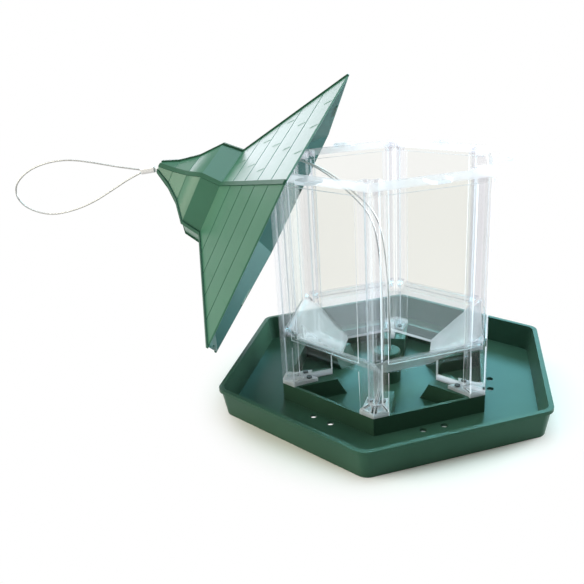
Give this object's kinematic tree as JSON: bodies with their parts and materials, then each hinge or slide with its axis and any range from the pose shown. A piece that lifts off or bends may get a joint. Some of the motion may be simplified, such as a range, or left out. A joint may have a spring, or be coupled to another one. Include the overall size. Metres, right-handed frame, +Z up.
{
  "type": "bird feeding house",
  "caption": "Hexagonal bird feeder: green tray with drain holes, clear panelled seed hopper with ports, and a loose two-tier roof tipped aside on a hanging wire loop.",
  "frame": {"origin": "middle of the tray's underside", "axes": "+Z up along the feeder's centre line, -Y towards the corner that faces the viewer"},
  "size_m": [0.398, 0.2572, 0.2252],
  "materials": {
    "green_plastic": "satin",
    "clear_plastic": "clear gloss",
    "screw_steel": "plain",
    "steel_wire": "stranded",
    "ferrule_metal": "crimped"
  },
  "bodies": {
    "base": {"tray": "green_plastic", "hopper_panel_1": "clear_plastic", "hopper_panel_2": "clear_plastic", "hopper_panel_3": "clear_plastic", "hopper_panel_4": "clear_plastic", "hopper_panel_5": "clear_plastic", "hopper_panel_6": "clear_plastic", "panel_screws": "screw_steel", "cable_lower": "steel_wire"},
    "roof": {"roof_shell": "green_plastic", "cable_upper_left": "steel_wire", "cable_upper_right": "steel_wire"},
    "hanger": {"cable_ferrule": "ferrule_metal", "hanging_loop": "steel_wire"}
  },
  "joints": [
    {"name": "roof_swing", "type": "hinge", "parent": "base", "child": "roof", "pos_m": [0.00321, 0.03094, 0.06217], "axis": [0.213, 0.8703, -0.4441], "range_deg": [0, 69.49], "deforming": ["cable_upper_left", "cable_upper_right"]},
    {"name": "loop_swing", "type": "hinge", "parent": "roof", "child": "hanger", "pos_m": [-0.1615, -0.00705, 0.1662], "axis": [0, 1, 0], "range_deg": [0, 30]}
  ]
}
